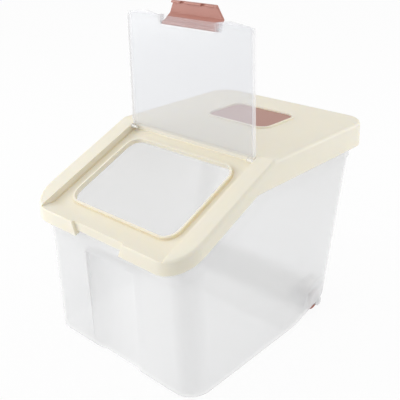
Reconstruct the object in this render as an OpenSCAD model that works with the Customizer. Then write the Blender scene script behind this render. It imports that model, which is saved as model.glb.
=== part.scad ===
// Rice bin: a translucent tub on two rear wheels, a one-piece cream lid with a sloping
// front, and a clear flip lid with a swinging latch. Front faces -Y, origin at the base.

/* [Lid outline] */
// Width of the main lid
lid_w = 258; // [230:1:300]
// Depth of the main lid, front to back
lid_d = 347; // [320:1:400]
// Height of the flat rear top above the floor
lid_h = 241; // [225:1:280]
// Distance of the knee line in front of the middle
knee_y = 23; // [10:1:40]
// Slope of the front half, in degrees
slope_deg = 24.6; // [18:0.2:28]
// Plan radius of the lid's rear corners
corner_r = 30; // [20:1:40]
// Plan radius of the lid's front corners
front_corner_r = 36; // [26:1:42]
// Rounding of the top edges
edge_r = 4.5; // [4:0.5:7]
// Wall thickness of the main lid
lid_wall = 2.2; // [1.8:0.1:3]
// Depth of the skirt around the flat rear
skirt_rear = 31; // [26:1:36]
// Depth of the skirt along the slope and the front
skirt_front = 16.5; // [15:0.5:18]

/* [Opening and ledge] */
// Depth of the ledge below the side rails
ledge_drop = 9; // [8:0.5:12]
// Width of each side rail beside the ledge
rail_w = 25.5; // [24:0.5:32]
// Depth of the level front shelf below the rails' front end
shelf_drop = 0.8; // [0.4:0.1:1]
// Width of the opening
opening_w = 172; // [140:1:184]
// Distance from the knee to the rear of the opening, along the slope
opening_start = 23; // [20:1:40]
// Distance of the opening's front behind the slope's lower end
opening_front_in = 29.5; // [26:0.5:40]
// Corner radius of the opening
opening_r = 17; // [8:1:24]
// Height of the raised rim around the opening
upstand_h = 4; // [2.5:0.1:4.2]
// Thickness of the raised rim
upstand_t = 2.4; // [1.8:0.1:4]
// Width of the set-back latch panel at the shelf
panel_w = 87; // [86:1:96]
// Width of the latch panel at the skirt's lower edge
panel_low_w = 73; // [71:1:80]
// Depth of the latch panel's set-back
panel_t = 3.5; // [3:0.1:4]
// Height of the latch panel's lower edge above the skirt's
panel_lift = 5.5; // [3:0.5:7]

/* [Flip lid] */
// Thickness of the clear plate
plate_t = 2.2; // [1.6:0.1:2.6]
// Height of the closed plate's top above the side rails
plate_rise = 1; // [0.8:0.1:2]
// Gap between the clear lid and the side rails
side_gap = 1; // [0.5:0.1:2]
// Distance of the clear lid's side corners behind the slope's lower end
flip_front_in = 7.7; // [7:0.1:9]
// Bow of the free edge
flip_bow = 8; // [6:0.5:8]
// Depth of the notch in the free edge, in front of the latch
notch_t = 7.4; // [7:0.1:7.8]
// Distance from the latch's sides to the notch's sloping ends
notch_gap = 40; // [30:1:48]
// Corner radius of the clear plate
flip_r = 7; // [4:1:12]
// Width of the rim under the clear plate
flange_t = 2; // [1.4:0.1:3]
// Depth of the rim under the clear plate, with the plate
flange_h = 3.4; // [3:0.1:3.8]
// Distance of the hinge axis from the knee, along the slope
hinge_s = 8.8; // [7:0.2:10]
// Depth of the hinge axis below the rail plane
hinge_drop = 2.6; // [2.4:0.1:3]
// Radius of the hinge pins
hinge_pin_r = 1.5; // [1:0.1:1.7]
// Radius of the hinge knuckles
knuckle_r = 3; // [2.6:0.1:3.4]
// Length of a hinge knuckle
knuckle_len = 9; // [5:0.5:14]
// Opening angle from closed to upright
open_deg = 114.6; // [90:0.1:120]

/* [Latch] */
// Width of the latch at its hinge
latch_w = 90; // [86:1:91]
// Width of the latch at its free edge
latch_tip_w = 70; // [66:1:74]
// Thickness of the latch
latch_t = 2.6; // [2:0.1:3]
// Distance of the latch pin from the corners of the lid's free edge
latch_inset = 8.5; // [7:0.5:9]
// Height of the latch pin above the rail plane
latch_rise = 5; // [4.2:0.1:5.5]
// Height of the latch's bend above the front shelf
latch_bend = 3; // [3:0.1:5]
// Radius of the latch pin
latch_pin_r = 1.25; // [0.9:0.05:1.4]
// Radius of the latch barrel
latch_barrel_r = 2.7; // [2.3:0.1:2.8]
// Thickness of the clear ears that carry the latch pin
ear_t = 4; // [2.5:0.1:6]
// Angle by which the latch is swung open
latch_open_deg = 60; // [40:1:70]
// Width of each gap in the latch's hook
tip_pocket_w = 8; // [6:1:12]
// Distance from the middle of a hook gap to the latch's middle
tip_pocket_x = 17; // [12:1:22]
// How far the closed latch stands in front of the skirt
latch_front = 0.5; // [0:0.1:2]
// Length of the latch's hook under the panel
hook_len = 2; // [1:0.1:2.2]

/* [Tub] */
// Distance of the tub's floor inside the lid's sides
base_side_in = 7; // [6:0.5:12]
// Distance of the tub's floor behind the lid's front
base_front_in = 18.5; // [15:0.5:24]
// Distance of the tub's floor in front of the lid's rear
base_rear_in = 72.5; // [50:0.5:78]
// Distance of the tub's top inside the lid's sides
top_side_in = 5; // [5:0.5:8]
// Distance of the tub's top behind the lid's front
top_front_in = 10.5; // [10:0.5:14]
// Distance of the tub's top in front of the lid's rear
top_rear_in = 10.5; // [8:0.5:18]
// Rounding of the tub's floor edge
floor_r = 6; // [3:1:9]
// Radius of the tub's upright corners
tub_r = 28; // [20:1:36]
// Wall thickness of the tub
tub_wall = 2.4; // [1.8:0.1:3.2]
// Depth of the tub's rim below the rail plane
rim_drop = 14; // [13:0.5:16]
// Thickness of the rim flange
rim_t = 3; // [2:0.1:3]
// Gap between the rim flange and the lid's skirt
rim_gap = 0.7; // [0.4:0.1:1.5]
// Distance of the rim flange behind the lid's front
rim_front_in = 8.5; // [8:0.5:9.5]
// Thickness of the seal on the rim
seal_t = 2; // [1.5:0.1:2.5]
// Width of the seal on the rim
seal_w = 2; // [1.5:0.1:2.4]
// Distance of the seal from the rim flange's edge
seal_inset = 2.4; // [2:0.1:2.8]
// Depth of the thicker band under the rim flange
band_h = 25; // [12:1:30]
// How far the band stands out from the body
band_t = 1.6; // [0.8:0.1:2]
// Width of the hand recess in the front wall
recess_w = 84; // [60:1:100]
// Depth of the hand recess
recess_t = 6; // [5:0.5:9]
// Height of the hand recess
recess_h = 130; // [90:1:134]
// Length of the recess's slanted sides across the bin
recess_slant = 14; // [8:1:16]
// Height of the floor ledge at the rear, over the wheels
wheel_rise = 24; // [16:1:30]
// Length of the rising rear floor
rise_len = 89; // [70:1:110]

/* [Wheels] */
// Radius of a wheel
wheel_r = 14; // [10:0.5:15]
// Width of a wheel
wheel_w = 12; // [8:0.5:14]
// Inside width of each wheel well
well_w = 24.6; // [22:0.2:30]
// Distance of the wheels' axis in front of the tub floor's rear
wheel_in = 25; // [22:1:30]
// Radius of a wheel pin
wheel_pin_r = 2.5; // [1.5:0.1:3]
// Clearance over the wheel in its well
well_gap = 3; // [2:0.1:5]
// Radius of a wheel's hub
hub_r = 6; // [5:0.1:7]
// Depth of the dish in a wheel's side
dish_t = 2.5; // [1:0.1:4]
// Length of the blind boss that holds a wheel pin
boss_len = 5; // [3:0.5:8]

/* [Pocket] */
// Width of the pocket cover in the rear top
cover_w = 100; // [70:1:120]
// Depth of the pocket cover
cover_d = 66; // [50:1:76]
// Distance of the pocket's middle in front of the lid's rear
cover_in = 88.5; // [78:0.5:98]
// Thickness of the pocket cover
cover_t = 2.4; // [1.6:0.1:3]
// Corner radius of the pocket cover
cover_r = 13; // [8:1:20]
// Depth of the cover's top below the lid
cover_sink = 2; // [0.6:0.1:2.2]
// Depth of the pocket under its cover
pocket_h = 14; // [8:1:20]
// Height of the raised bead around the pocket
bead_h = 2; // [0.6:0.1:2.2]
// Width of the raised bead around the pocket
bead_w = 3; // [3:0.5:5]
// Width of the step that the cover rests on
cover_ledge = 3; // [2:0.5:5]
// Depth of the cover's locating rim
cover_foot = 5; // [3:0.5:6]
// Gap around the pocket cover
cover_gap = 0.5; // [0.3:0.1:1]

/* [Fits] */
// Radial clearance of a turning pin in its bore
run_fit = 0.05; // [0.02:0.01:0.09]
// Clearance between pieces that rest near each other
rest_gap = 0.3; // [0.2:0.1:0.5]

/* [Hidden] */
$fn = 64;
CREAM = [0.93, 0.89, 0.80];
PINK = [0.76, 0.56, 0.52];
CLEAR = [0.93, 0.94, 0.95, 0.5];
MILKY = [0.93, 0.93, 0.92, 0.6];
PALE = [0.90, 0.88, 0.82];
RUBBER = [0.94, 0.94, 0.93];
FAR = 600;          // longer than the bin, for cutting shapes
EPS = 0.01;         // overlap that joins two shapes
POST_FACETS = 32;   // sides of a corner post
BOW_FACETS = 720;   // sides of the clear lid's bowed front edge
EDGE_STEP = 15;     // degrees between the points of a rounded top edge
CORNER_STEP = 7.5;  // degrees between the posts of a front corner
FLOOR_STEP = 22.5;  // degrees between the rings of the tub's rounded floor edge
slope_run = lid_d / 2 - knee_y;
slope_len = slope_run / cos(slope_deg);
front_h = lid_h - slope_run * tan(slope_deg);
half_w = lid_w / 2;
half_d = lid_d / 2;
ledge_half = half_w - rail_w;
opening_len = slope_len - opening_start - opening_front_in;
flip_len = slope_len - hinge_s - flip_front_in;
tub_base_w = lid_w - 2 * base_side_in;
tub_base_front = half_d - base_front_in;
tub_base_rear = half_d - base_rear_in;
tub_top_w = lid_w - 2 * top_side_in;
tub_top_front = half_d - top_front_in;
tub_top_rear = half_d - top_rear_in;
rise_y = tub_base_rear - rise_len;
shelf_z = front_h - shelf_drop;
plate_top = plate_rise;
plate_low = plate_top - plate_t;
flip_half = ledge_half - side_gap;
flip_bow_r = (flip_half * flip_half + flip_bow * flip_bow) / (2 * flip_bow);
skirt_low = front_h - skirt_front;
panel_low = skirt_low + panel_lift;
panel_y = -half_d + panel_t;
hinge_back = max(knuckle_r, norm([hinge_pin_r, plate_top + hinge_drop])) + rest_gap;
latch_s = flip_len - latch_inset;
latch_x = latch_w / 2;
cheek_x = tub_base_w / 2 - tub_wall;
well_x = cheek_x - well_w;
well_h = 2 * wheel_r + well_gap;
wheel_x = well_x + well_w / 2;
wheel_y = tub_base_rear - wheel_in;
rim_w = lid_w - 2 * (lid_wall + rim_gap);
rim_front = half_d - rim_front_in;
rim_rear = half_d - lid_wall - rim_gap;
rim_d = rim_front + rim_rear;
rim_y = (rim_rear - rim_front) / 2;
rim_r = corner_r - lid_wall - rim_gap;
cover_top = lid_h + bead_h - cover_sink;
cover_y = half_d - cover_in;
band_low = rim_drop + rim_t + band_h;

// Places children in the slope's frame: y runs up the slope, z away from it
module on_slope() {
    translate([0, -knee_y, lid_h]) rotate([slope_deg, 0, 0]) children();
}

// Turns children, drawn closed, about the flip lid's hinge to the upright pose
module lid_swung() {
    on_slope() translate([0, -hinge_s, -hinge_drop]) rotate([-open_deg, 0, 0])
        translate([0, hinge_s, hinge_drop]) children();
}

// Turns children, drawn closed, about the latch pin
module latch_swung() {
    translate([0, -hinge_s - latch_s, latch_rise]) rotate([-latch_open_deg, 0, 0])
        translate([0, hinge_s + latch_s, -latch_rise]) children();
}

// A rod along X from x to x + len
module rod_x(x, len, r) {
    translate([x, 0, 0]) rotate([0, 90, 0]) cylinder(h = len, r = r);
}

// A rectangle with round corners, centred
module round_rect(w, d, r) {
    union() {
        square([w - 2 * r, d], center = true);
        square([w, d - 2 * r], center = true);
        for (sx = [-1, 1], sy = [-1, 1])
            translate([sx * (w / 2 - r), sy * (d / 2 - r)]) circle(r = r);
    }
}

// A solid that runs across the bin, from a side profile drawn in Y and Z
module across(w) {
    rotate([90, 0, 90]) translate([0, 0, -w / 2]) linear_extrude(height = w) children();
}

// Side profile of everything below the lid's top, moved inwards by drop
module top_profile(drop) {
    shift = drop * tan(slope_deg / 2);
    polygon([[-FAR, lid_h - drop - (FAR - knee_y + shift) * tan(slope_deg)],
        [-knee_y - shift, lid_h - drop], [FAR, lid_h - drop], [FAR, -FAR], [-FAR, -FAR]]);
}

// Side profile of what hangs below the skirt's lower edge
module below_skirt() {
    meet = (skirt_rear - skirt_front) / tan(slope_deg);
    polygon([[-FAR, skirt_low], [-half_d, skirt_low],
        [-knee_y - meet, lid_h - skirt_rear], [FAR, lid_h - skirt_rear], [FAR, -FAR], [-FAR, -FAR]]);
}

// A corner post with a rounded top edge, from low up to top
module corner_post(x, y, r, edge, low, top) {
    translate([x, y, 0]) rotate_extrude($fn = POST_FACETS) polygon([[0, low], [r, low],
        for (a = [0 : EDGE_STEP : 90]) [r - edge + edge * cos(a), top - edge + edge * sin(a)]]);
}

// The lid's outer shape, moved inwards by inset
module lid_form(inset) {
    w = half_w - inset;
    edge = edge_r - inset;
    core = lid_h - inset - edge;
    hull() for (sx = [-1, 1]) {
        corner_post(sx * (half_w - corner_r), half_d - corner_r, corner_r - inset, edge, 0, core + edge);
        corner_post(sx * (w - edge), edge_r * tan(slope_deg / 2) - knee_y, edge, edge,
            core - edge, core + edge);
        for (a = [0 : CORNER_STEP : 90]) {
            x = half_w - front_corner_r + (front_corner_r - edge_r) * sin(a);
            y = front_corner_r - half_d - (front_corner_r - edge_r) * cos(a);
            z = lid_h + (y + knee_y) * tan(slope_deg) - edge_r / cos(slope_deg);
            corner_post(sx * x, y, edge, edge, 0, z + edge);
        }
    }
}

// A stroke of even thickness between two points of a profile
module stroke(a, b, t) {
    run = b - a;
    translate(a) rotate(atan2(run[1], run[0])) translate([0, -t / 2]) square([norm(run), t]);
    translate(b) circle(d = t);
}

// A point of the bin's side view, given in the slope's frame
function to_slope(y, z) = [(y + knee_y) * cos(slope_deg) + (z - lid_h) * sin(slope_deg),
    (z - lid_h) * cos(slope_deg) - (y + knee_y) * sin(slope_deg)];

// Side profile of what lies under the ledge and the level shelf, moved inwards by grow
module under_ledge(grow) {
    low = (ledge_drop + grow) / cos(slope_deg);
    shelf = shelf_z - grow;
    polygon([[-FAR, shelf], [(shelf - lid_h + low) / tan(slope_deg) - knee_y, shelf],
        [FAR, lid_h + (FAR + knee_y) * tan(slope_deg) - low], [FAR, -FAR], [-FAR, -FAR]]);
}

// The space over the ledge, grown by grow at its sides, floor and front
module ledge_space(grow) {
    rear = grow + hinge_back - knee_y
        + hinge_drop * sin(slope_deg) - hinge_s * cos(slope_deg);
    across(2 * (ledge_half + grow)) difference() {
        translate([-FAR, 0]) square([FAR + rear, FAR]);
        under_ledge(grow);
    }
}

// The space in front of the latch panel, which widens upwards, grown by grow
module panel_space(grow) {
    half = panel_w / 2 + grow;
    lean = (panel_w - panel_low_w) / 2 / skirt_front;
    below = front_h - 2 * skirt_front;
    translate([0, panel_y + grow, 0]) rotate([90, 0, 0]) linear_extrude(height = FAR)
        polygon([[lean * (front_h - below) - half, below], [half - lean * (front_h - below), below],
            [half + lean * (lid_h - front_h), lid_h], [lean * (front_h - lid_h) - half, lid_h]]);
}

// The opening's outline, grown by grow, between two heights of the slope's frame
module opening_block(grow, low, high) {
    on_slope() translate([0, -opening_start - opening_len / 2, low]) linear_extrude(height = high - low)
        round_rect(opening_w + 2 * grow, opening_len + 2 * grow, opening_r + grow);
}

// The shape of the tub's rim in plan, moved inwards by inset
module rim_plan(inset) {
    translate([0, rim_y]) round_rect(rim_w - 2 * inset, rim_d - 2 * inset, rim_r - inset);
}

// The seal's ring in plan
module seal_plan() {
    difference() {
        rim_plan(seal_inset);
        rim_plan(seal_inset + seal_w);
    }
}

// What lies between two depths below the lid's top, cut from children that stand upright
module between_drops(high, low) {
    intersection() {
        linear_extrude(height = FAR) children();
        across(FAR) difference() {
            top_profile(high);
            top_profile(low);
        }
    }
}

// The pocket's outline, grown by grow, between two heights
module pocket_block(grow, low, high) {
    translate([0, cover_y, low]) linear_extrude(height = high - low)
        round_rect(cover_w + 2 * grow, cover_d + 2 * grow, cover_r + grow);
}

// Children and their mirror image on the other side
module both_sides() {
    children();
    mirror([1, 0, 0]) children();
}

// A rod along X at the flip lid's hinge axis
module hinge_rod(x, len, r) {
    on_slope() translate([0, -hinge_s, -hinge_drop]) rod_x(x, len, r);
}

// The plan of the tub at a height given as a share of the lid's height
module tub_ring(share, z, inset) {
    w = tub_base_w / 2 + (tub_top_w - tub_base_w) / 2 * share - inset;
    front = tub_base_front + (tub_top_front - tub_base_front) * share - inset;
    rear = tub_base_rear + (tub_top_rear - tub_base_rear) * share - inset;
    r = tub_r - inset;
    for (sx = [-1, 1], y = [r - front, rear - r])
        translate([sx * (w - r), y, z]) cylinder(h = EPS, r = r);
}

// The tub's tapering form with a rounded floor edge, moved inwards by inset
module tub_form(inset) {
    hull() {
        for (a = [0 : FLOOR_STEP : 90])
            tub_ring(0, inset + floor_r * (1 - sin(a)), inset + floor_r * (1 - cos(a)));
        tub_ring(1, lid_h, inset);
    }
}

// The hand recess in the front wall, grown by grow
module recess_space(grow) {
    w = recess_w / 2 + grow;
    mouth = -tub_base_front + grow;
    translate([0, 0, -FAR]) linear_extrude(height = FAR + recess_h + grow)
        polygon([[-w, -FAR], [w, -FAR], [w, mouth], [w - recess_slant, mouth + recess_t],
            [recess_slant - w, mouth + recess_t], [-w, mouth]]);
}

// The space under the rising rear floor, grown by grow
module rise_space(grow) {
    run = tub_base_rear - rise_y;
    across(FAR) translate([0, grow]) polygon([[rise_y, 0], [rise_y - FAR, -FAR], [FAR, -FAR],
        [FAR, wheel_rise * (FAR - rise_y) / run]]);
}

// The space around the right wheel, grown by grow and out to reach
module well_space(grow, reach) {
    translate([well_x - grow, wheel_y - wheel_r - well_gap - grow, -FAR])
        cube([reach - well_x + grow, FAR, FAR + well_h + grow]);
}

// Places children, drawn along X, on the wheels' axis
module on_axle() {
    translate([0, wheel_y, wheel_r]) children();
}

// The right wheel pin, from its blind boss to the outer cheek
module wheel_pin() color(PALE) {
    on_axle() rod_x(well_x - boss_len, boss_len + well_w + tub_wall / 2, wheel_pin_r);
}

// The right wheel: a dished rim around a long hub
module wheel() color(PINK) {
    side = (wheel_w - 2 * dish_t) / 2;
    hub = well_w / 2 - rest_gap;
    on_axle() translate([wheel_x, 0, 0]) difference() {
        union() {
            rod_x(-side, 2 * side, wheel_r);
            rod_x(-hub, 2 * hub, hub_r);
            for (x = [-wheel_w / 2, side]) difference() {
                rod_x(x, dish_t, wheel_r);
                rod_x(x - EPS, dish_t + 2 * EPS, wheel_r - dish_t);
            }
        }
        rod_x(-wheel_w, 2 * wheel_w, wheel_pin_r + run_fit);
    }
}

module tub() color(MILKY) {
    difference() {
        union() {
            difference() {
                union() {
                    intersection() {
                        tub_form(0);
                        across(FAR) top_profile(rim_drop);
                    }
                    intersection() {
                        lid_form(lid_wall + rim_gap);
                        between_drops(rim_drop, rim_drop + rim_t) rim_plan(0);
                    }
                    intersection() {
                        tub_form(-band_t);
                        between_drops(rim_drop + rim_t, band_low) rim_plan(0);
                    }
                }
                recess_space(0);
                rise_space(0);
                both_sides() well_space(0, cheek_x);
                difference() {
                    tub_form(tub_wall);
                    recess_space(tub_wall);
                    rise_space(tub_wall);
                    both_sides() well_space(tub_wall, FAR);
                }
            }
            both_sides() on_axle() {
                rod_x(well_x - boss_len - tub_wall, boss_len + tub_wall, hub_r);
                rod_x(cheek_x, tub_wall, hub_r);
            }
        }
        both_sides() on_axle() rod_x(well_x - boss_len, boss_len + well_w + tub_wall / 2, wheel_pin_r);
    }
}

module wheel_pin_right() wheel_pin();
module wheel_pin_left() mirror([1, 0, 0]) wheel_pin();
module wheel_right() wheel();
module wheel_left() mirror([1, 0, 0]) wheel();

// The main lid: skirt, side rails, ledge with its raised opening, latch panel and pocket
module main_lid() color(CREAM) {
    hinge_boss = hinge_pin_r + lid_wall;
    pin_end = ledge_half + lid_wall + knuckle_len / 2;
    difference() {
        union() {
            difference() {
                union() {
                    lid_form(0);
                    pocket_block(bead_w, lid_h - edge_r, lid_h + bead_h);
                }
                difference() {
                    lid_form(lid_wall);
                    ledge_space(lid_wall);
                    panel_space(lid_wall);
                    pocket_block(lid_wall, lid_h - pocket_h - lid_wall, lid_h);
                    between_drops(0, rim_drop - seal_t) seal_plan();
                    both_sides() hinge_rod(ledge_half, pin_end - ledge_half + lid_wall, hinge_boss);
                }
                ledge_space(0);
                panel_space(0);
                across(FAR) below_skirt();
                across(panel_low_w) translate([-FAR, -FAR])
                    square([FAR + panel_y + 2 * lid_wall, FAR + panel_low]);
            }
            opening_block(upstand_t, -ledge_drop - lid_wall / 2, upstand_h - ledge_drop);
        }
        opening_block(0, -2 * ledge_drop, ledge_drop);
        pocket_block(cover_gap, cover_top - cover_t, FAR);
        pocket_block(-cover_ledge, lid_h - pocket_h, FAR);
        both_sides() hinge_rod(0, pin_end, hinge_pin_r);
    }
}

// A soft ring that the lid presses onto the tub's rim
module rim_seal() color(RUBBER) {
    between_drops(rim_drop - seal_t, rim_drop) seal_plan();
}

// The right hinge pin, from the clear knuckle into the side rail
module hinge_pin() color(PALE) {
    start = flip_half - knuckle_len;
    hinge_rod(start, ledge_half + lid_wall + knuckle_len / 2 - start, hinge_pin_r);
}
module hinge_pin_right() hinge_pin();
module hinge_pin_left() mirror([1, 0, 0]) hinge_pin();

// The clear plate's outline in the slope's frame, with a bowed and notched free edge
module flip_outline() {
    rear = hinge_s - hinge_pin_r;
    far = hinge_s + flip_len + flip_bow;
    difference() {
        intersection() {
            translate([0, -(rear + far) / 2]) round_rect(2 * flip_half, far - rear, flip_r);
            translate([0, flip_bow_r - far]) circle(r = flip_bow_r, $fn = BOW_FACETS);
        }
        for (sx = [-1, 1]) translate([0, -far])
            polygon([[0, -notch_t], [sx * (latch_x + notch_gap), -notch_t], [sx * (latch_x + notch_gap), 0],
                [sx * (latch_x + side_gap), notch_t], [0, notch_t]]);
    }
}

// The rim's outline under the clear plate, moved inwards by inset
module flange_outline(inset) {
    start = hinge_s + knuckle_r + 2 * rest_gap;
    len = hinge_s + flip_len - side_gap - start;
    translate([0, -start - len / 2]) round_rect(2 * (flip_half - inset), len - 2 * inset, flip_r - inset);
}

// The clear lid: bowed plate, rim, two hinge knuckles and two latch ears
module flip_lid() color(CLEAR) {
    ear_front = latch_s - flip_len - flip_bow + notch_t;
    ear_low = plate_top - plate_t / 2;
    lid_swung() difference() {
        union() {
            translate([0, 0, plate_low]) linear_extrude(height = plate_t) flip_outline();
            translate([0, 0, plate_top - flange_h]) linear_extrude(height = flange_h - plate_t / 2)
                difference() {
                    flange_outline(0);
                    flange_outline(flange_t);
                }
            both_sides() {
                translate([0, -hinge_s, -hinge_drop]) rod_x(flip_half - knuckle_len, knuckle_len, knuckle_r);
                translate([latch_x + rest_gap, 0, 0]) rotate([90, 0, 90]) linear_extrude(height = ear_t)
                    translate([-hinge_s - latch_s, 0]) union() {
                        translate([0, latch_rise]) circle(r = latch_barrel_r);
                        translate([ear_front, ear_low])
                            square([latch_barrel_r - ear_front, latch_rise - ear_low]);
                        translate([ear_front, ear_low])
                            square([-ear_front, latch_rise + latch_barrel_r - ear_low]);
                    }
            }
        }
        translate([0, -hinge_s, -hinge_drop]) rod_x(-half_w, lid_w, hinge_pin_r + run_fit);
        translate([0, -hinge_s - latch_s, latch_rise]) rod_x(-half_w, lid_w, latch_pin_r + run_fit);
    }
}

// The latch: barrel, sloping arm, front plate and a hook with two gaps
module latch() color(PINK) {
    pin = [-hinge_s - latch_s, latch_rise];
    front = latch_t / 2 - half_d - latch_front;
    tip_z = panel_low - rest_gap - latch_t / 2;
    bend = to_slope(front, shelf_z + latch_bend);
    tip = to_slope(front, tip_z);
    hook = to_slope(panel_y + hook_len - latch_t / 2, tip_z);
    lid_swung() latch_swung() difference() {
        intersection() {
            across(latch_w) {
                translate(pin) circle(r = latch_barrel_r);
                stroke(pin, bend, latch_t);
                stroke(bend, tip, latch_t);
                stroke(tip, hook, latch_t);
            }
            rotate([90, 0, 0]) linear_extrude(height = FAR) polygon([[-latch_x, FAR], [-latch_x, pin[1]],
                [-latch_tip_w / 2, tip[1]], [-latch_tip_w / 2, -FAR], [latch_tip_w / 2, -FAR],
                [latch_tip_w / 2, tip[1]], [latch_x, pin[1]], [latch_x, FAR]]);
        }
        translate([0, pin[0], pin[1]]) rod_x(-latch_w, 2 * latch_w, latch_pin_r);
        for (x = [-tip_pocket_x, tip_pocket_x])
            translate([x - tip_pocket_w / 2, 0, 0]) rotate([90, 0, 90]) linear_extrude(height = tip_pocket_w)
                stroke(to_slope(front + latch_t, tip_z), hook, 2 * latch_t);
    }
}

// The pin through the latch and both clear ears
module latch_pin() color(PALE) {
    len = latch_x + rest_gap + ear_t;
    lid_swung() translate([0, -hinge_s - latch_s, latch_rise]) rod_x(-len, 2 * len, latch_pin_r);
}

// The cover of the pocket in the rear top, with a locating rim
module pocket_cover() color(PINK) {
    foot = -cover_ledge - cover_gap;
    union() {
        pocket_block(0, cover_top - cover_t, cover_top);
        difference() {
            pocket_block(foot, cover_top - cover_t - cover_foot, cover_top - cover_t / 2);
            pocket_block(foot - cover_t / 2, -FAR, cover_top - cover_t);
        }
    }
}

tub();
wheel_pin_left();
wheel_pin_right();
wheel_left();
wheel_right();
main_lid();
rim_seal();
hinge_pin_left();
hinge_pin_right();
flip_lid();
latch();
latch_pin();
pocket_cover();
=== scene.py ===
import math

import bmesh
import bpy
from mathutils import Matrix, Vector


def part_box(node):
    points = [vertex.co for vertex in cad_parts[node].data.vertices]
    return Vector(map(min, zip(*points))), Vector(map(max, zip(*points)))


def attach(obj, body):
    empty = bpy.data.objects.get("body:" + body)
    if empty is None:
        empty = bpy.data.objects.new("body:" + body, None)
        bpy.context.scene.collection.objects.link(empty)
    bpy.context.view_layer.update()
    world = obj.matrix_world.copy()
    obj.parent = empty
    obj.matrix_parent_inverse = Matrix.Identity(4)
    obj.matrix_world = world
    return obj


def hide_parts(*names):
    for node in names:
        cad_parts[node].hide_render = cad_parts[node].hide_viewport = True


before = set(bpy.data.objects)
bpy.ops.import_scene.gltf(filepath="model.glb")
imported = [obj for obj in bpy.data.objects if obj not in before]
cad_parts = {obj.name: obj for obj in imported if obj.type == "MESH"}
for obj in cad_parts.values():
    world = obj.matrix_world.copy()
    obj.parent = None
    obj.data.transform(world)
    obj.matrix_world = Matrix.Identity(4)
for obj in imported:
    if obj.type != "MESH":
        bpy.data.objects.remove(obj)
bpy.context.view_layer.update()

# Colours
CREAM = (0.860, 0.800, 0.670)
CREASE_SHADE = (0.640, 0.500, 0.270)          # painted shade: the cream darkened along a crease
LATCH_PINK = (0.500, 0.225, 0.180)
COVER_PINK = (0.460, 0.255, 0.210)
MILKY = (0.920, 0.925, 0.935)
CLEAR = (0.690, 0.705, 0.745)
# WHITE is the seal's own colour, and also the colour of the painted highlight and painted light on
# the clear lid
WHITE = (0.930, 0.930, 0.930)
PALE = (0.900, 0.880, 0.820)
FLOOR = (0.800, 0.800, 0.800)
LIGHT = (1, 1, 1)

# Plastics
PLASTIC_IOR = 1.45
GRAIN_HEIGHT, GRAIN_SCALE, GRAIN_STRENGTH = 0.00004, 900, 0.2
TUB_ALPHA, CHEEK_ALPHA = 0.31, 0.40     # the tub, and what is added around its wheels
LID_ALPHA, RIM_ALPHA = 0.32, 0.14       # the clear lid, and what is added at its rim
KNUCKLE_ALPHA, LATCH_ALPHA = 0.12, 0.16     # what is taken off at its knuckles and over the latch
LID_ROUGHNESS, RIM_ROUGHNESS = 0.15, 0.45   # the clear lid, and what is added at its rim
CREASE_SHADE_SHARE = 0.28                     # how far a crease turns to the painted shade's colour

# Where a colour or an opacity changes, in metres
SLOPE = math.radians(24.6)              # lean of the lid's slope
KNEE_Y, KNEE_Z = -0.023, 0.241          # where the slope begins
OPENING_HALF_W, OPENING_HALF_LEN, OPENING_R = 0.086, 0.0565, 0.017
OPENING_MIDDLE = 0.0795                 # the opening's middle, down the slope
RIM_SHADE = (0.0030, 0.0018)           # painted shade around the opening: distance outside it, and reach
RAIL_SHADE = (0.1032, 0.0020)          # painted shade at the rails' feet: distance from the middle, and reach
LEDGE_TOP = -0.0065                     # creases lie lower than this under the rails' plane,
LEDGE_START = 0.006                     # farther down the slope than this
SHELF = -0.0702                         # and above the front shelf, from the knee's height
AXLE_Y, AXLE_Z = 0.076, 0.014           # the wheels' axis
CHEEK_REACH = 0.034                     # reach of the thicker plastic around it
LID_RIM = 0.0040                        # width of the clear lid's rim, which carries a painted highlight
KNUCKLE_RISE = 0.0065                   # height of its knuckles, which get painted light

# Smooth copies
SMOOTH = math.radians(32)               # edges flatter than this are shaded smooth
MERGE, SLIVER = 1e-6, 1e-7

# Camera
PICTURE_PX = 400                        # the picture's width and height
LENS_PX = 676
CENTRE_PX = (264, 103)                  # where the optical axis meets the picture
CAMERA_PLACE = (0.5562, -0.5700, 0.5072)
CAMERA_TURN, CAMERA_DOWN = math.radians(39.12), math.radians(16.15)
SENSOR_MM = 36

# Studio
FLOOR_SIZE = 12
FLOOR_GLOW = 0.93                       # share of pure white in the floor, to the camera
SKY_LOW, SKY_HIGH = 0.60, 0.95          # the sky's strength at the horizon and overhead
LAMPS = {"key": ((-1.45, -1.1, 0.60), 19), "fill": ((1.15, 1.4, 0.60), 11)}    # place, watts
LAMP_SIZE = 1.2
LAMP_AIM = (0, 0, 0.15)


class Socket:
    """Wraps a node socket, so that shader maths reads as Python."""

    def __init__(self, tree, link):
        self.tree, self.link = tree, link

    def maths(self, operation, *values):
        node = self.tree.nodes.new("ShaderNodeMath")
        node.operation = operation
        for slot, value in zip(node.inputs, values):
            if isinstance(value, Socket):
                self.tree.links.new(value.link, slot)
            else:
                slot.default_value = value
        return Socket(self.tree, node.outputs[0])

    def __add__(self, other):
        return self.maths("ADD", self, other)

    def __sub__(self, other):
        return self.maths("SUBTRACT", self, other)

    def __rsub__(self, other):
        return self.maths("SUBTRACT", other, self)

    def __mul__(self, other):
        return self.maths("MULTIPLY", self, other)

    __radd__, __rmul__ = __add__, __mul__

    def squared(self):
        return self * self

    def root(self):
        return self.maths("SQRT", self)

    def absolute(self):
        return self.maths("ABSOLUTE", self)

    def over(self, limit):
        """1 where the value is above limit, else 0."""
        return self.maths("GREATER_THAN", self, limit)

    def either(self, other):
        return self.maths("MAXIMUM", self, other)

    def both(self, other):
        return self.maths("MINIMUM", self, other)

    def near(self, middle, reach):
        """1 at middle, falling to 0 at reach on either side."""
        return (1 - (self - middle).absolute() * (1 / reach)).either(0.0)


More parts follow.
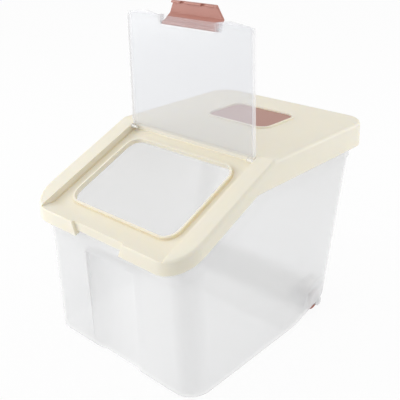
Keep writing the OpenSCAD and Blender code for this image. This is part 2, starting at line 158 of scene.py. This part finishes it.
class Nodes:
    """A node tree, with a short way to add nodes and to fill their sockets."""

    def __init__(self, tree):
        self.tree = tree

    def fill(self, node, sockets):
        """Fills sockets, given by name or number, with numbers, colours or links."""
        for name, value in sockets.items():
            slot = node.inputs[name]
            if isinstance(value, Socket):
                self.tree.links.new(value.link, slot)
            elif slot.type == "RGBA":
                slot.default_value = (*value, 1)
            else:
                slot.default_value = value

    def node(self, kind, sockets=None, settings=None, output=0):
        """Adds a node, its settings first, and gives one of its outputs."""
        made = self.tree.nodes.new("ShaderNode" + kind)
        for name, value in (settings or {}).items():
            setattr(made, name, value)
        self.fill(made, sockets or {})
        return Socket(self.tree, made.outputs[output])


class Finish(Nodes):
    """A material with one Principled shader, patterned on Object coordinates."""

    def __init__(self, name, sockets):
        self.material = bpy.data.materials.new(name)
        self.material.use_nodes = True
        super().__init__(self.material.node_tree)
        self.place = self.node("TexCoord", output="Object")
        self.shade(sockets)

    def shade(self, sockets):
        self.fill(self.tree.nodes["Principled BSDF"], sockets)

    def axis(self, letter):
        """Object coordinate along X, Y or Z."""
        return self.node("SeparateXYZ", {"Vector": self.place}, output=letter)

    def noise(self, scale, detail):
        return self.node("TexNoise", {"Vector": self.place, "Scale": scale, "Detail": detail})

    def mix(self, share, first, second):
        """Colour between first and second."""
        return self.node("Mix", {0: share, 6: first, 7: second}, {"data_type": "RGBA"}, output=2)

    def paint(self, color, spread=0.03, scale=25):
        """Colour that drifts a little over the surface."""
        return self.mix(self.noise(scale, detail=3), tuple(c * (1 - spread) for c in color), color)

    def grain(self):
        """Fine moulded grain, as bump."""
        self.shade({"Normal": self.node("Bump", {
            "Strength": GRAIN_STRENGTH, "Distance": GRAIN_HEIGHT,
            "Height": self.noise(GRAIN_SCALE, detail=4)})})


def satin_plastic(name, color, roughness):
    finish = Finish(name, {"Roughness": roughness})
    finish.shade({"Base Color": finish.paint(color)})
    finish.grain()
    return finish.material


def cream_plastic():
    """The lid's cream plastic, with painted shade along the creases of its sunken front."""
    finish = Finish("cream_satin", {"Roughness": 0.45, "Subsurface Weight": 0.3,
                                    "Subsurface Radius": (1.0, 0.75, 0.4), "Subsurface Scale": 0.008})
    x = finish.axis("X").absolute()
    y, z = finish.axis("Y") - KNEE_Y, finish.axis("Z") - KNEE_Z
    down = 0 - (y * math.cos(SLOPE) + z * math.sin(SLOPE))      # distance down the slope
    out = z * math.cos(SLOPE) - y * math.sin(SLOPE)             # height over the rails' plane
    over_x = x - (OPENING_HALF_W - OPENING_R)
    over_s = (down - OPENING_MIDDLE).absolute() - (OPENING_HALF_LEN - OPENING_R)
    corner = (over_x.either(0.0).squared() + over_s.either(0.0).squared()).root()
    around = corner + over_x.either(over_s).both(0.0) - OPENING_R      # distance outside the opening
    sunken = (1 - out.over(LEDGE_TOP)).both(down.over(LEDGE_START)).both(z.over(SHELF))
    # painted shade: the creases around the opening and at the rails' feet are darkened
    crease_shade = around.near(*RIM_SHADE).either(x.near(*RAIL_SHADE)).both(sunken)
    finish.shade({"Base Color": finish.mix(crease_shade * CREASE_SHADE_SHARE, finish.paint(CREAM), CREASE_SHADE)})
    finish.grain()
    return finish.material


def milky_plastic():
    """The tub's cloudy plastic, thicker and so paler around the wheels."""
    finish = Finish("milky_tub", {"Roughness": 0.35, "IOR": PLASTIC_IOR})
    y, z = finish.axis("Y") - AXLE_Y, finish.axis("Z") - AXLE_Z
    cheek = (y.squared() + z.squared()).root().near(0.0, CHEEK_REACH)
    finish.shade({"Base Color": finish.paint(MILKY, spread=0.02, scale=8),
                  "Alpha": TUB_ALPHA + (cheek * 2.0).both(1.0) * CHEEK_ALPHA})
    return finish.material


def clear_plastic():
    """The clear lid's plastic: a painted highlight along the rim, painted light over the shaded
    knuckles, and clearer over the latch.
    """
    low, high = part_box("flip_lid")
    latch_low, latch_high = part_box("latch")
    finish = Finish("clear_lid", {"IOR": PLASTIC_IOR})
    x, z = finish.axis("X").absolute(), finish.axis("Z")
    # painted highlight: the lid's rim edges are whitened
    rim_highlight = x.near(high[0], LID_RIM).either(z.near(high[2], LID_RIM))
    # painted light: the shaded knuckles are whitened
    knuckle_painted_light = 1 - z.over(low[2] + KNUCKLE_RISE)
    over_latch = (1 - x.over(latch_high[0])).both(z.over(latch_low[2]))
    finish.shade({
        "Base Color": finish.mix(rim_highlight.either(knuckle_painted_light), finish.paint(CLEAR, scale=8), WHITE),
        "Roughness": LID_ROUGHNESS + rim_highlight * RIM_ROUGHNESS,
        "Alpha": LID_ALPHA + rim_highlight * RIM_ALPHA - knuckle_painted_light * KNUCKLE_ALPHA - over_latch * LATCH_ALPHA})
    return finish.material


def paint_pieces():
    """Gives every piece its material."""
    pink_wheel = satin_plastic("wheel_pink", LATCH_PINK, 0.5)
    pale_pin = satin_plastic("pale_pin", PALE, 0.4)
    finishes = {
        "tub": milky_plastic(),
        "main_lid": cream_plastic(),
        "flip_lid": clear_plastic(),
        "latch": satin_plastic("latch_pink_satin", LATCH_PINK, 0.4),
        "pocket_cover": satin_plastic("cover_pink_satin", COVER_PINK, 0.5),
        "rim_seal": satin_plastic("white_seal", WHITE, 0.6),
        "wheel_left": pink_wheel, "wheel_right": pink_wheel,
        "wheel_pin_left": pale_pin, "wheel_pin_right": pale_pin,
        "hinge_pin_left": pale_pin, "hinge_pin_right": pale_pin,
        "latch_pin": pale_pin,
    }
    for name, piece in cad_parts.items():
        for slot in piece.material_slots:
            slot.material = finishes[name]


def smooth_copy(name):
    """A copy of a CAD node with merged corners and smooth shading, in its place."""
    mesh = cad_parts[name].data.copy()
    mesh.name = name + "_skin"
    work = bmesh.new()
    work.from_mesh(mesh)
    bmesh.ops.remove_doubles(work, verts=work.verts, dist=MERGE)
    bmesh.ops.dissolve_degenerate(work, edges=work.edges, dist=SLIVER)
    for face in work.faces:
        face.smooth = True
    for edge in work.edges:
        edge.smooth = len(edge.link_faces) == 2 and edge.calc_face_angle(math.pi) < SMOOTH
    work.to_mesh(mesh)
    work.free()
    copy = bpy.data.objects.new(name + "_skin", mesh)
    bpy.context.collection.objects.link(copy)
    return copy


def make_camera():
    """The camera of the picture, with its optical axis off the middle."""
    data = bpy.data.cameras.new("camera")
    data.sensor_width = SENSOR_MM
    data.lens = LENS_PX / PICTURE_PX * SENSOR_MM
    data.shift_x = (PICTURE_PX / 2 - CENTRE_PX[0]) / PICTURE_PX
    data.shift_y = (CENTRE_PX[1] - PICTURE_PX / 2) / PICTURE_PX
    camera = bpy.data.objects.new("camera", data)
    camera.location = CAMERA_PLACE
    camera.rotation_euler = (math.pi / 2 - CAMERA_DOWN, 0, CAMERA_TURN)
    bpy.context.collection.objects.link(camera)
    bpy.context.scene.camera = camera


def make_floor():
    """A floor that looks almost pure white to the camera and still takes a shadow."""
    bpy.ops.mesh.primitive_plane_add(size=FLOOR_SIZE)
    floor = bpy.context.object
    floor.name = "floor"
    finish = Finish("white_floor", {"Roughness": 1.0, "Base Color": FLOOR, "Specular IOR Level": 0.0})
    matt = Socket(finish.tree, finish.tree.nodes["Principled BSDF"].outputs[0])
    glow = finish.node("Emission", {"Color": LIGHT})
    seen = finish.node("LightPath", output="Is Camera Ray")
    mixed = finish.node("MixShader", {0: seen * FLOOR_GLOW, 1: matt, 2: glow})
    finish.fill(finish.tree.nodes["Material Output"], {"Surface": mixed})
    floor.data.materials.append(finish.material)


def make_sky():
    """White light that is stronger from above, and pure white to the camera."""
    world = bpy.data.worlds.new("white_studio")
    world.use_nodes = True
    sky = Nodes(world.node_tree)
    height = sky.node("SeparateXYZ", {"Vector": sky.node("TexCoord", output="Generated")}, output="Z")
    strength = sky.node("MapRange", {"Value": height, "To Min": SKY_LOW, "To Max": SKY_HIGH})
    light = sky.node("Background", {"Color": LIGHT, "Strength": strength})
    white = sky.node("Background", {"Color": LIGHT})
    seen = sky.node("LightPath", output="Is Camera Ray")
    mixed = sky.node("MixShader", {0: seen, 1: light, 2: white})
    sky.fill(sky.tree.nodes["World Output"], {"Surface": mixed})
    bpy.context.scene.world = world


def make_lamps():
    for name, (place, watts) in LAMPS.items():
        data = bpy.data.lights.new(name, "AREA")
        data.energy, data.size = watts, LAMP_SIZE
        lamp = bpy.data.objects.new(name, data)
        lamp.location = place
        lamp.rotation_euler = (Vector(LAMP_AIM) - lamp.location).to_track_quat("-Z", "Y").to_euler()
        bpy.context.collection.objects.link(lamp)


paint_pieces()
for name in ("tub", "main_lid"):
    skin = smooth_copy(name)
    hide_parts(name)
    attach(skin, name)

make_camera()
make_floor()
make_sky()
make_lamps()
bpy.context.scene.view_settings.view_transform = "Standard"
